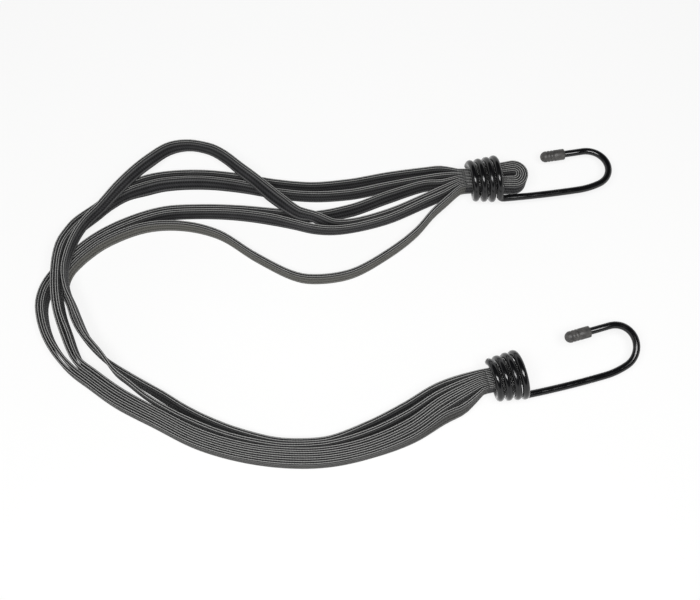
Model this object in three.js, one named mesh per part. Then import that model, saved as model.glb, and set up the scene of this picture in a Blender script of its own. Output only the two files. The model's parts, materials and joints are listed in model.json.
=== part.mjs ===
// A flat bungee cord lying slack on a table in a sideways U.
//
// One endless length of woven elastic tape is laid three times between two wire hooks, so six strands
// run side by side. At each end the tape makes three nested loops inside the conical coil of a hook.
// Millimetres, +Z up, the table at z = 0, the hooks towards +X, the origin in the middle of the footprint.

import * as THREE from 'three';

// Elastic tape
const TAPE_WIDTH = 10;
const TAPE_THICKNESS = 2;
const GRIPPED_THICKNESS = 1.5;
const TAPE_CORNER = 0.35;
const STRAND_STEPS = 60;

// Where tapes lie against each other, and where a strand meets its end loop
const TAPE_GAP = 0.3;

// Hook wire, coat included
const WIRE_DIAMETER = 3.7;
const WIRE_SIDES = 8;

// Conical coil of each hook: radii are to the middle of the wire
const COIL_TURNS = 3.5;
const COIL_PITCH = 4.4;
const COIL_SMALL_RADIUS = 9.3;
const COIL_LARGE_RADIUS = 11.1;
const COIL_STEPS_PER_TURN = 24;
const GRIP_CLEARANCE = 0.3;

// Elbow, slightly bent shank, bow and tip of each hook: angles are in degrees
const ELBOW_RADIUS = 2.4;
const ELBOW_STEPS = 5;
const SHANK_LENGTH = 40;
const SHANK_BEND = 4.5;
const SHANK_STEPS = 4;
const EASE_RADIUS = 40;
const EASE_ANGLE = 18;
const EASE_STEPS = 3;
const BOW_RADIUS = 11.1;
const BOW_ANGLE = 162;
const BOW_STEPS = 14;
const TIP_LENGTH = 22;

// Soft cap on the tip
const CAP_DIAMETER = 6;
const CAP_LENGTH = 13.3;
const CAP_END_WALL = 1.6;
const CAP_BORE_CLEARANCE = 0.25;
const CAP_SEGMENTS = 14;
const CAP_DOME_STEPS = 5;

// End loops: the width of the eye in the innermost one, and how far the bends' common centre lies from the
// coil's first turn
const LOOP_EYE = 2.7;
const UPPER_LOOP_REACH = 23;
const LOWER_LOOP_REACH = 10.2;
const LOOP_LEG_STEPS = 6;
const LOOP_BEND_STEPS = 12;

// Outside a coil: how far the end loops stand out of its mouth, how far the strands run straight on from
// there, and how far they take to swell from their gripped thickness
const MOUTH_LEAD = 3;
const MOUTH_STRAIGHT = 2;
const MOUTH_EASE = 14;

// Where each hook lies: the middle of its coil's first turn on the table, the way that its axis points
// (degrees from +X), and how far it is rolled about that axis
const UPPER_HOOK = { x: 72.2, y: 64.6, heading: 5.1, roll: -4 };
const LOWER_HOOK = { x: 78.2, y: -47.7, heading: 11.9, roll: 22 };

// Middle of the footprint in the layout's own coordinates, where the origin goes
const FOOTPRINT_MIDDLE = { x: -0.5, y: 0.1 };

// Free strands, from the upper coil round to the lower one. Each point is x, y, the height of the tape's
// lower edge above the table, and the tape's lean in degrees: 0 stands on edge, and a negative lean tips
// the upper edge out of the U. The points beside the coils follow from the hooks.
const ROUTES = {
  strand_a: [
    [56.9, 59.2, 6.5], [48, 55.5, 5], [28.2, 47.7, 2], [8, 42.5, 0.6], [-2.6, 41.6, 2.5],
    [-12.6, 42.4, 10.4], [-19.3, 43.8, 10.6, -10], [-28.2, 49.9, 10.6, -21], [-35.6, 56, 10.6, -25],
    [-43.1, 63.1, 10.6, -18], [-51.2, 69.9, 10.6, -15], [-61.3, 79.4, 8.6, -11], [-71, 86.4, 5, -3],
    [-81.9, 89, 4, -1], [-91.8, 86.3, 5, -5], [-101.6, 76.6, 8.4, -8], [-109, 67.8, 10.6, -8],
    [-116.8, 58.5, 10.6, -8], [-125.5, 46.6, 10.6, -2], [-131.8, 39, 10.6], [-136.1, 30.9, 10.6],
    [-139.2, 20.3, 10.6], [-140.1, 10, 10.6], [-137.7, -0.4, 10.6], [-133.9, -7.7, 10.6],
    [-130.3, -15.3, 10.6], [-125.1, -25.2, 10.6], [-116.4, -35.4, 10.6], [-109.1, -44.5, 10.4],
    [-103.3, -48.6, 7.5], [-93.3, -55.6, 2.5], [-76.2, -64.8, 0], [-53, -74.1, 0], [-31.8, -78.8, 0],
    [-22, -79.7, 0], [-3.4, -78.6, 0], [15.9, -73.8, 1, 7], [35.1, -65.3, 3.5, 8],
    [52.2, -54.6, 6.5, 3],
  ],
  strand_b1: [
    [56.5, 71.2, 6.5], [47.7, 71.1, 5], [27.8, 69.8, 2], [7.5, 66.8, 0], [-12.7, 64.8, 0],
    [-33, 66.6, 0], [-53.3, 70.3, 0], [-73.6, 72.4, 0], [-93.9, 71.4, 0], [-105.5, 68.6, 0],
    [-115.5, 63.5, 0], [-124.4, 56.3, 0], [-130.9, 50.4, 0.3], [-137.7, 41.7, 4], [-141.2, 33.2, 8.6],
    [-144, 25.6, 10.6], [-145.3, 17.3, 10.6], [-145.1, 5.8, 10.6], [-143.8, -4.5, 10.2],
    [-142.4, -13.1, 5], [-139.7, -21.5, 1], [-135.6, -30.6, 0], [-131.4, -37, 0], [-122.1, -44.3, 0],
    [-108.4, -53.6, 0], [-88.8, -64.1, 0], [-66.9, -75, 0], [-44.1, -81.5, 0], [-21.9, -84.1, 0],
    [-2.6, -83.5, 0], [17.5, -79, 0.6], [37.4, -70.6, 3], [53.5, -59.7, 6],
  ],
  strand_b2: [
    [56.5, 66.9, 6.5], [47.6, 66.2, 5], [27.7, 63.8, 2], [7.5, 60.4, 0], [-12.7, 59.1, 0],
    [-33, 61.2, 0], [-53.3, 65.5, 0, -9], [-73.5, 67.7, 0, -13], [-93.8, 66.6, 0, -13],
    [-104.4, 63.8, 0, -13], [-114.9, 60, 0, -4], [-123.5, 53.8, 0], [-129.4, 47.9, 0.3],
    [-135.4, 39.9, 4], [-138.7, 32.1, 8.6], [-141.4, 24.9, 10.6], [-142.8, 17.3, 10.6],
    [-142.6, 5.8, 10.6], [-141.2, -4.5, 10.2], [-139.7, -12.8, 5], [-136.8, -20.6, 1],
    [-133.2, -29.4, 0], [-129.7, -35.3, 0], [-120.7, -42.1, 0], [-107.2, -51.5, 0], [-87.8, -62.1, 0],
    [-66.2, -72.8, 0], [-43.8, -79.4, 0], [-22, -82, 0], [-3, -81.3, 0], [16.7, -76.7, 0.6],
    [36.5, -68.2, 3], [52.9, -57.3, 6],
  ],
  strand_c1: [
    [56.9, 63, 6.5], [48, 63, 5, -3], [27.7, 57.5, 2, -10], [7.5, 50.5, 0, -10], [-12.7, 46.9, 0, -3],
    [-32.9, 48.9, 0], [-53.1, 50.8, 0], [-73.3, 51.3, 0], [-93.4, 49.9, 0], [-113.4, 42.9, 0],
    [-128.8, 33.8, 0], [-140.6, 22.9, 0], [-148.3, 13.8, 0], [-153, 5, 0], [-154.5, -3.8, 0],
    [-153.2, -12.1, 0], [-149.3, -22.4, 0], [-143.5, -31.6, 0], [-135.5, -40.3, 0], [-125, -48, 0],
    [-110.9, -57.8, 0], [-90.9, -68.1, 0], [-68.6, -79.1, 0], [-45, -85.8, 0], [-21.9, -88.6, 0],
    [-1.8, -87.9, 0], [19.1, -83.2, 0], [39.3, -75.5, 1, 6], [55.1, -65.8, 3.5, 14],
    [63.5, -61.9, 4.5, 10], [69.5, -57.2, 6.5, 5],
  ],
  strand_c2: [
    [57.4, 56.4, 6.5], [48, 52.6, 5], [28.2, 44.8, 1.5, 2], [8, 39.9, 0, 4], [-2.6, 38.8, 0, 3],
    [-12.6, 39.8, 0], [-22.7, 42.4, 0, -1], [-34.3, 45.2, 0, -6], [-53, 48, 0, -4], [-73.2, 48.8, 0],
    [-92.9, 47.4, 0], [-112.4, 40.4, 0], [-127.3, 31.8, 0], [-138.8, 21.1, 0], [-146, 12.2, 0],
    [-150.5, 4.2, 0], [-151.9, -3.8, 0], [-150.8, -11.5, 0], [-147.2, -21.4, 0], [-141.6, -30.1, 0],
    [-133.9, -38.4, 0], [-123.8, -46, 0], [-109.8, -55.7, 0], [-89.9, -66, 0], [-67.8, -77, 0],
    [-44.6, -83.7, 0], [-21.9, -86.3, 0], [-2.2, -85.7, 0], [18.3, -81.1, 0.3], [38.3, -72.8, 1.5, 2],
    [54.3, -62.5, 4.5, 4],
  ],
  strand_d: [
    [58.3, 52, 6.5], [51.9, 46.4, 5], [42.7, 36, 3], [28.1, 24.7, 1], [7.5, 13.1, 0], [-12.5, 10.3, 0],
    [-22.5, 12.3, 0], [-42.7, 23.1, 0], [-62.9, 36.3, 0], [-83.2, 41.5, 0], [-103.3, 40.3, 0],
    [-122.9, 31.8, 0], [-132.1, 24.5, 0], [-137, 19.3, 0], [-139.9, 15.4, 0], [-141.8, 10.5, 0],
    [-142.1, 5, 0], [-141, -0.7, 0], [-138, -6.4, 0], [-135.7, -12.4, 0], [-132.5, -18.4, 0],
    [-128.2, -24.1, 0], [-122, -30.5, 0], [-114.4, -36.8, 0], [-103.4, -44, 0, 5],
    [-86.3, -54.3, 0, 14], [-71.4, -63.1, 0, 13], [-51.5, -71.1, 0, 4], [-31.8, -76.3, 0],
    [-22, -77.4, 0], [-3.8, -76.4, 0], [14.9, -70.4, 1, 10], [33.6, -61.6, 3.5, 13],
    [51.4, -51.1, 6.5, 5],
  ],
};

// The order of the strands across each coil, from its left side to its right, seen along its axis
const UPPER_ORDER = ['strand_b1', 'strand_b2', 'strand_c1', 'strand_a', 'strand_c2', 'strand_d'];
const LOWER_ORDER = ['strand_d', 'strand_a', 'strand_b2', 'strand_b1', 'strand_c2', 'strand_c1'];

const COLOURS = {
  tape: { color: 0x17181a, roughness: 0.85, metalness: 0 },
  wire: { color: 0x0e0f11, roughness: 0.22, metalness: 0.2 },
  cap: { color: 0x3f4142, roughness: 0.7, metalness: 0 },
};

const WIRE_RADIUS = WIRE_DIAMETER / 2;
const COIL_LENGTH = COIL_TURNS * COIL_PITCH;
const AXIS_HEIGHT = COIL_LARGE_RADIUS + WIRE_RADIUS;
const STACK_PITCH = GRIPPED_THICKNESS + TAPE_GAP;
const LOOP_COUNT = UPPER_ORDER.length / 2;
const UP = new THREE.Vector3(0, 0, 1);
const radians = THREE.MathUtils.degToRad;

// A closed solid through a list of rings of points, all with the same count, closed by a fan at each end
function loft(rings) {
  const sides = rings[0].length;
  const positions = rings.flat().flatMap((p) => [p.x, p.y, p.z]);
  const index = [];
  for (let i = 0; i + 1 < rings.length; i++) {
    for (let j = 0; j < sides; j++) {
      const a = i * sides + j;
      const b = i * sides + ((j + 1) % sides);
      index.push(a, b, b + sides, a, b + sides, a + sides);
    }
  }
  const last = (rings.length - 1) * sides;
  for (let j = 1; j + 1 < sides; j++) {
    index.push(0, j + 1, j);
    index.push(last, last + j, last + j + 1);
  }
  const geometry = new THREE.BufferGeometry();
  geometry.setAttribute('position', new THREE.Float32BufferAttribute(positions, 3));
  geometry.setIndex(index);
  geometry.computeVertexNormals();
  return geometry;
}

// One ring of tape. The thickness runs outwards; `room` gives the half width that fits at a place across it.
function tapeRing(centre, outward, across, thickness, room = () => Infinity) {
  const face = thickness / 2;
  const half = TAPE_WIDTH / 2;
  const flat = half - TAPE_CORNER;
  const rows = [[-face, flat], [TAPE_CORNER - face, half], [face - TAPE_CORNER, half], [face, flat]];
  const sized = rows.map(([s, w]) => [s, Math.min(w, room(s))]);
  const corners = [...sized.map(([s, w]) => [s, -w]), ...sized.map(([s, w]) => [s, w]).reverse()];
  return corners.map(([s, w]) => centre.clone().addScaledVector(outward, s).addScaledVector(across, w));
}

function mesh(name, geometry, finish) {
  const piece = new THREE.Mesh(geometry, new THREE.MeshStandardMaterial(COLOURS[finish]));
  piece.name = name;
  return piece;
}

// A hook's own frame: +X along the coil's axis towards the bow, +Y to its left, +Z up
function hookFrame(hook) {
  const frame = new THREE.Group();
  frame.position.set(hook.x, hook.y, AXIS_HEIGHT);
  frame.rotation.z = radians(hook.heading);
  frame.updateMatrixWorld();
  return frame;
}

// Middle line of the wire: the coil from its free end, the elbow, the shank, the bow and the tip.
// The coil ends at the side of the shank, and the elbow takes the wire from the turn into the axis' way.
function wirePoints() {
  const points = [];
  const coilSteps = Math.round(COIL_TURNS * COIL_STEPS_PER_TURN);
  for (let i = 0; i <= coilSteps; i++) {
    const t = i / coilSteps;
    const angle = t * COIL_TURNS * 2 * Math.PI;
    const radius = THREE.MathUtils.lerp(COIL_SMALL_RADIUS, COIL_LARGE_RADIUS, t);
    points.push(new THREE.Vector3(t * COIL_LENGTH, radius * Math.cos(angle), radius * Math.sin(angle)));
  }
  for (let i = 1; i <= ELBOW_STEPS; i++) {
    const angle = (i / ELBOW_STEPS) * (Math.PI / 2);
    const x = COIL_LENGTH + ELBOW_RADIUS * (1 - Math.cos(angle));
    points.push(new THREE.Vector3(x, -COIL_LARGE_RADIUS, -ELBOW_RADIUS * Math.sin(angle)));
  }
  let heading = 0;
  const pen = points[points.length - 1].clone();
  const straight = (length) => {
    pen.x += length * Math.cos(heading);
    pen.y += length * Math.sin(heading);
    points.push(pen.clone());
  };
  const arc = (radius, degrees, steps) => {
    const turn = radians(degrees) / steps;
    for (let i = 0; i < steps; i++) {
      heading += turn / 2;
      straight(2 * radius * Math.sin(turn / 2));
      heading += turn / 2;
    }
  };
  arc(SHANK_LENGTH / radians(SHANK_BEND), SHANK_BEND, SHANK_STEPS);
  arc(EASE_RADIUS, EASE_ANGLE, EASE_STEPS);
  arc(BOW_RADIUS, BOW_ANGLE, BOW_STEPS);
  straight(TIP_LENGTH);
  return { points, tipHeading: heading };
}

// A round wire along a line of points. Its rings are carried from the tip back to the coil without
// twisting, so one flat side of the wire faces straight into the bow.
function wireGeometry(points) {
  const last = points.length - 1;
  const tangents = points.map((p, i) => {
    const before = points[Math.max(0, i - 1)];
    const after = points[Math.min(last, i + 1)];
    return after.clone().sub(before).normalize();
  });
  const rings = [];
  let normal = UP.clone().cross(tangents[last]);
  for (let i = last; i >= 0; i--) {
    if (i < last) {
      const turn = new THREE.Quaternion().setFromUnitVectors(tangents[i + 1], tangents[i]);
      normal = normal.clone().applyQuaternion(turn);
    }
    const side = tangents[i].clone().cross(normal);
    rings[i] = Array.from({ length: WIRE_SIDES }, (_, j) => {
      const angle = ((j + 0.5) / WIRE_SIDES) * 2 * Math.PI;
      return points[i].clone()
        .addScaledVector(normal, WIRE_RADIUS * Math.cos(angle))
        .addScaledVector(side, WIRE_RADIUS * Math.sin(angle));
    });
  }
  return loft(rings);
}

// Least gap between turns of the coil, among points that are half a turn or more apart
function coilGap(points) {
  let least = Infinity;
  for (let i = 0; i < points.length; i++) {
    for (let j = i + COIL_STEPS_PER_TURN / 2; j < points.length; j++) {
      least = Math.min(least, points[i].distanceTo(points[j]) - WIRE_DIAMETER);
    }
  }
  return least;
}

function capGeometry() {
  const radius = CAP_DIAMETER / 2;
  const bore = (WIRE_RADIUS + CAP_BORE_CLEARANCE) / Math.cos(Math.PI / CAP_SEGMENTS);
  const profile = [new THREE.Vector2(0, 0)];
  for (let i = 1; i <= CAP_DOME_STEPS; i++) {
    const angle = (i / CAP_DOME_STEPS) * (Math.PI / 2);
    profile.push(new THREE.Vector2(radius * Math.sin(angle), radius * (1 - Math.cos(angle))));
  }
  profile.push(new THREE.Vector2(radius, CAP_LENGTH));
  profile.push(new THREE.Vector2(bore, CAP_LENGTH));
  profile.push(new THREE.Vector2(bore, CAP_END_WALL));
  profile.push(new THREE.Vector2(0, CAP_END_WALL));
  return new THREE.LatheGeometry(profile, CAP_SEGMENTS);
}

// Radius of the space that the coil leaves for the tape, at a place along its axis
function coilBore(x) {
  const t = THREE.MathUtils.clamp(x / COIL_LENGTH, 0, 1);
  const radius = THREE.MathUtils.lerp(COIL_SMALL_RADIUS, COIL_LARGE_RADIUS, t);
  return radius - WIRE_RADIUS - GRIP_CLEARANCE;
}

// A strand's place across the coil's mouth, to the left of the axis
function stackOffset(place) {
  return (LOOP_COUNT - 0.5 - place) * STACK_PITCH;
}

// One of the nested end loops: a leg in, a half-round bend and a leg out. Its outer corners give way
// where the coil presses on them, and it swells to its full thickness if it bends outside the coil.
function loopGeometry(nest, reach) {
  const throat = stackOffset(LOOP_COUNT - 1 - nest);
  const thickness = reach > COIL_LENGTH ? TAPE_THICKNESS : GRIPPED_THICKNESS;
  const bend = (LOOP_EYE + thickness) / 2 + nest * (thickness + TAPE_GAP);
  const line = [];
  for (let i = 0; i < LOOP_LEG_STEPS; i++) {
    const x = THREE.MathUtils.lerp(-MOUTH_LEAD, reach, i / LOOP_LEG_STEPS);
    const open = THREE.MathUtils.clamp(x / reach, 0, 1);
    const swollen = THREE.MathUtils.lerp(GRIPPED_THICKNESS, thickness, open);
    line.push([x, THREE.MathUtils.lerp(throat, bend, open), 0, swollen]);
  }
  for (let i = 0; i <= LOOP_BEND_STEPS; i++) {
    const angle = (i / LOOP_BEND_STEPS) * Math.PI;
    line.push([reach + bend * Math.sin(angle), bend * Math.cos(angle), angle, thickness]);
  }
  for (let i = LOOP_LEG_STEPS - 1; i >= 0; i--) line.push([line[i][0], -line[i][1], Math.PI, line[i][3]]);
  const rings = line.map(([x, y, angle, swollen]) => {
    const outward = new THREE.Vector3(Math.sin(angle), Math.cos(angle), 0);
    const room = (s) => {
      const side = y + s * outward.y;
      const held = Math.sqrt(Math.max(TAPE_CORNER ** 2, coilBore(x) ** 2 - side ** 2));
      return x > COIL_LENGTH + WIRE_DIAMETER ? Infinity : held;
    };
    return tapeRing(new THREE.Vector3(x, y, 0), outward, UP, swollen, room);
  });
  return loft(rings);
}

// The points of a strand beside a coil: where it meets its loop, and a little further out
function mouthPoints(frame, place) {
  const y = stackOffset(place);
  return [MOUTH_LEAD + TAPE_GAP, MOUTH_LEAD + MOUTH_STRAIGHT].map((x) => {
    const p = frame.localToWorld(new THREE.Vector3(-x, y, 0));
    return new THREE.Vector4(p.x, p.y, p.z - TAPE_WIDTH / 2, 0);
  });
}

function strandGeometry(name, upper, lower) {
  const start = mouthPoints(upper, UPPER_ORDER.indexOf(name));
  const end = mouthPoints(lower, LOWER_ORDER.indexOf(name)).reverse();
  const chosen = ROUTES[name].map(([x, y, lift, lean = 0]) => new THREE.Vector4(x, y, lift, lean));
  const stops = [...start, ...chosen, ...end];
  const route = new THREE.CatmullRomCurve3(stops.map((s) => new THREE.Vector3(s.x, s.y, s.z)));
  const step = route.getLength() / STRAND_STEPS;
  const rings = [];
  for (let i = 0; i <= STRAND_STEPS; i++) {
    const t = route.getUtoTmapping(i / STRAND_STEPS);
    const foot = route.getPoint(t);
    const place = t * (stops.length - 1);
    const leg = Math.min(Math.floor(place), stops.length - 2);
    const lean = radians(THREE.MathUtils.lerp(stops[leg].w, stops[leg + 1].w, place - leg));
    const free = Math.min(1, (Math.min(i, STRAND_STEPS - i) * step) / MOUTH_EASE);
    const thickness = THREE.MathUtils.lerp(GRIPPED_THICKNESS, TAPE_THICKNESS, free);
    const tangent = route.getTangent(t);
    const inward = UP.clone().cross(tangent).normalize();
    const upright = tangent.clone().cross(inward);
    const across = upright.clone().multiplyScalar(Math.cos(lean)).addScaledVector(inward, Math.sin(lean));
    const thick = inward.clone().multiplyScalar(Math.cos(lean)).addScaledVector(upright, -Math.sin(lean));
    const rise = (TAPE_WIDTH * Math.cos(lean) + thickness * Math.abs(Math.sin(lean))) / 2;
    foot.z = Math.max(0, foot.z) + rise;
    rings.push(tapeRing(foot, thick, across, thickness));
  }
  return loft(rings);
}

function buildHook(prefix, hook, reach) {
  const frame = hookFrame(hook);
  const { points, tipHeading } = wirePoints();
  const rolled = new THREE.Group();
  rolled.rotation.x = radians(hook.roll);
  rolled.add(mesh(`${prefix}_hook`, wireGeometry(points), 'wire'));
  const cap = mesh(`${prefix}_tip_cap`, capGeometry(), 'cap');
  const tip = points[points.length - 1];
  const beyond = CAP_END_WALL + CAP_BORE_CLEARANCE;
  cap.position.set(tip.x + beyond * Math.cos(tipHeading), tip.y + beyond * Math.sin(tipHeading), tip.z);
  cap.rotation.z = tipHeading + Math.PI / 2;
  rolled.add(cap);
  frame.add(rolled);
  const names = ['inner', 'middle', 'outer'];
  for (let nest = 0; nest < LOOP_COUNT; nest++) {
    frame.add(mesh(`${prefix}_loop_${names[nest]}`, loopGeometry(nest, reach), 'tape'));
  }
  const least = coilGap(points.slice(0, Math.round(COIL_TURNS * COIL_STEPS_PER_TURN)));
  console.log(`${prefix} coil: least gap between turns ${least.toFixed(2)} mm`);
  return frame;
}

const laid = new THREE.Group();
const upperEnd = buildHook('upper', UPPER_HOOK, UPPER_LOOP_REACH);
const lowerEnd = buildHook('lower', LOWER_HOOK, LOWER_LOOP_REACH);
laid.add(upperEnd, lowerEnd);
for (const name of Object.keys(ROUTES)) {
  laid.add(mesh(name, strandGeometry(name, upperEnd, lowerEnd), 'tape'));
}

const bungee = new THREE.Group();
laid.position.set(-FOOTPRINT_MIDDLE.x, -FOOTPRINT_MIDDLE.y, 0);
bungee.add(laid);

export default bungee;
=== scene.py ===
"""A flat bungee cord lying slack on a table: six strands of woven elastic tape held by two coil hooks.

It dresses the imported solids: tapes with grooved selvedges, smooth coated wire and soft tip caps.
Lengths are in metres, +Z is up and the table is at z = 0.
"""

import json
import math

import bpy
from bpy.props import FloatProperty, FloatVectorProperty, IntProperty, PointerProperty
from mathutils import Matrix, Vector


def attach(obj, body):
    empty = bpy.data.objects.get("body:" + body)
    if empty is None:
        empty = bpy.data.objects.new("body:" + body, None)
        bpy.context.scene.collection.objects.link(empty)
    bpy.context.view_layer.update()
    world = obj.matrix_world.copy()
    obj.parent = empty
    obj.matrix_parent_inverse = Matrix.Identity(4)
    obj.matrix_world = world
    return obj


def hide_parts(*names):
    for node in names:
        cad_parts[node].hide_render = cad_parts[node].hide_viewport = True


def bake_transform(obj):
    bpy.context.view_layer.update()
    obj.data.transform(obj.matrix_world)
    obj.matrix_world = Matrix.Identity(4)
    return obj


bl_info = {
    "name": "Flat bungee cord",
    "version": (1, 0, 0),
    "blender": (4, 5, 0),
    "location": "3D View > Sidebar > Bungee",
    "description": "Builds the tapes, hooks and tip caps of a flat bungee cord",
    "category": "Add Mesh",
}

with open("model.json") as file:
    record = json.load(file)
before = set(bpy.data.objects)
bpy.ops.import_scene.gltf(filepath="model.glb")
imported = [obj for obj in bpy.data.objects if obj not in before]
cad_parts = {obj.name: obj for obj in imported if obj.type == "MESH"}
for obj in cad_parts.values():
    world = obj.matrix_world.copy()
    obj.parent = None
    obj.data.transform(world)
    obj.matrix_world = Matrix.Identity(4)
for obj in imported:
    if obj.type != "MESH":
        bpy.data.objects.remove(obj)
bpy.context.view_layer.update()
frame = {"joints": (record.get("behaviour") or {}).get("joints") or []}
joints = {joint["name"]: joint for joint in frame["joints"]}

ENDS = ("upper", "lower")
NESTS = ("inner", "middle", "outer")

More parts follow.
